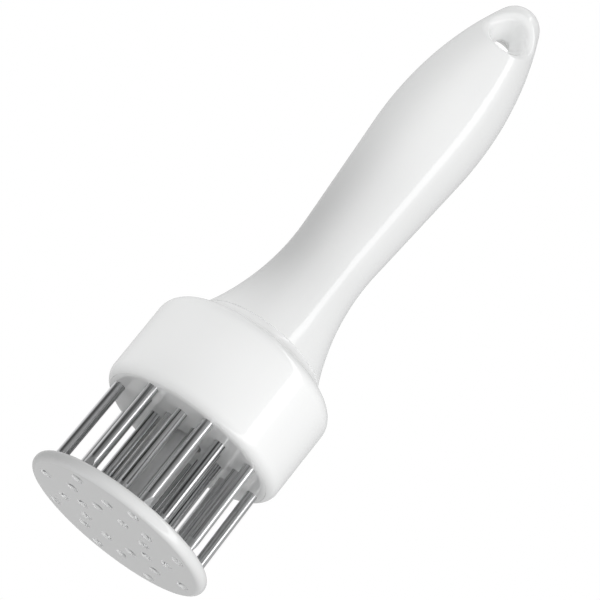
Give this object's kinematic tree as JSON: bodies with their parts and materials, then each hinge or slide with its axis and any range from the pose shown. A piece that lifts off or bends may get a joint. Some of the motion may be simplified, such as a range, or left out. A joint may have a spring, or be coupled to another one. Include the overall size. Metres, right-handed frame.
{
  "type": "needle meat tenderizer",
  "caption": "Meat tenderizer with a long rounded grip, a round head full of straight blade-ground needles, and a sprung guard disc that slides up over them.",
  "frame": {"origin": "centre of the guard disc's standing face", "axes": "+Z along the tool, from the guard disc to the tip of the handle; -Y is the front, where the hanging hole faces the viewer"},
  "size_m": [0.0546, 0.0546, 0.2032],
  "materials": {
    "white_shell": "polished mould surface",
    "stem_plastic": "fine matte",
    "inner_plastic": "plain moulded",
    "bearing_plastic": "acetal, fine turned",
    "needle_steel": "polished stainless steel",
    "screw_steel": "zinc plated",
    "spring_steel": "drawn wire",
    "buffer_rubber": "matte"
  },
  "bodies": {
    "handle": {"handle_grip": "white_shell", "head_shell": "white_shell", "ring_nut": "inner_plastic", "needle_plate": "white_shell", "clamp_plate": "inner_plastic", "plate_screws": "screw_steel", "guide_bush": "bearing_plastic", "guide_sleeve": "inner_plastic", "sleeve_screws": "screw_steel", "spring_seat": "screw_steel", "return_spring": "spring_steel", "needle_outer_1": "needle_steel", "needle_outer_2": "needle_steel", "needle_outer_3": "needle_steel", "needle_outer_4": "needle_steel", "needle_outer_5": "needle_steel", "needle_outer_6": "needle_steel", "needle_outer_7": "needle_steel", "needle_outer_8": "needle_steel", "needle_middle_1": "needle_steel", "needle_middle_2": "needle_steel", "needle_middle_3": "needle_steel", "needle_middle_4": "needle_steel", "needle_middle_5": "needle_steel", "needle_middle_6": "needle_steel", "needle_middle_7": "needle_steel", "needle_middle_8": "needle_steel", "needle_inner_1": "needle_steel", "needle_inner_2": "needle_steel", "needle_inner_3": "needle_steel", "needle_inner_4": "needle_steel", "needle_inner_5": "needle_steel", "needle_inner_6": "needle_steel", "needle_inner_7": "needle_steel", "needle_inner_8": "needle_steel"},
    "guard": {"guard_disc": "white_shell", "stem_tube": "stem_plastic", "slider_collar": "bearing_plastic", "buffer_washer": "buffer_rubber", "stem_screw": "screw_steel"}
  },
  "joints": [
    {"name": "guard_slide", "type": "slide", "parent": "handle", "child": "guard", "axis": [0, 0, 1], "range_m": [0, 0.026], "stiffness_N_per_m": 760, "springref_m": -0.013, "deforming": ["return_spring"]}
  ]
}
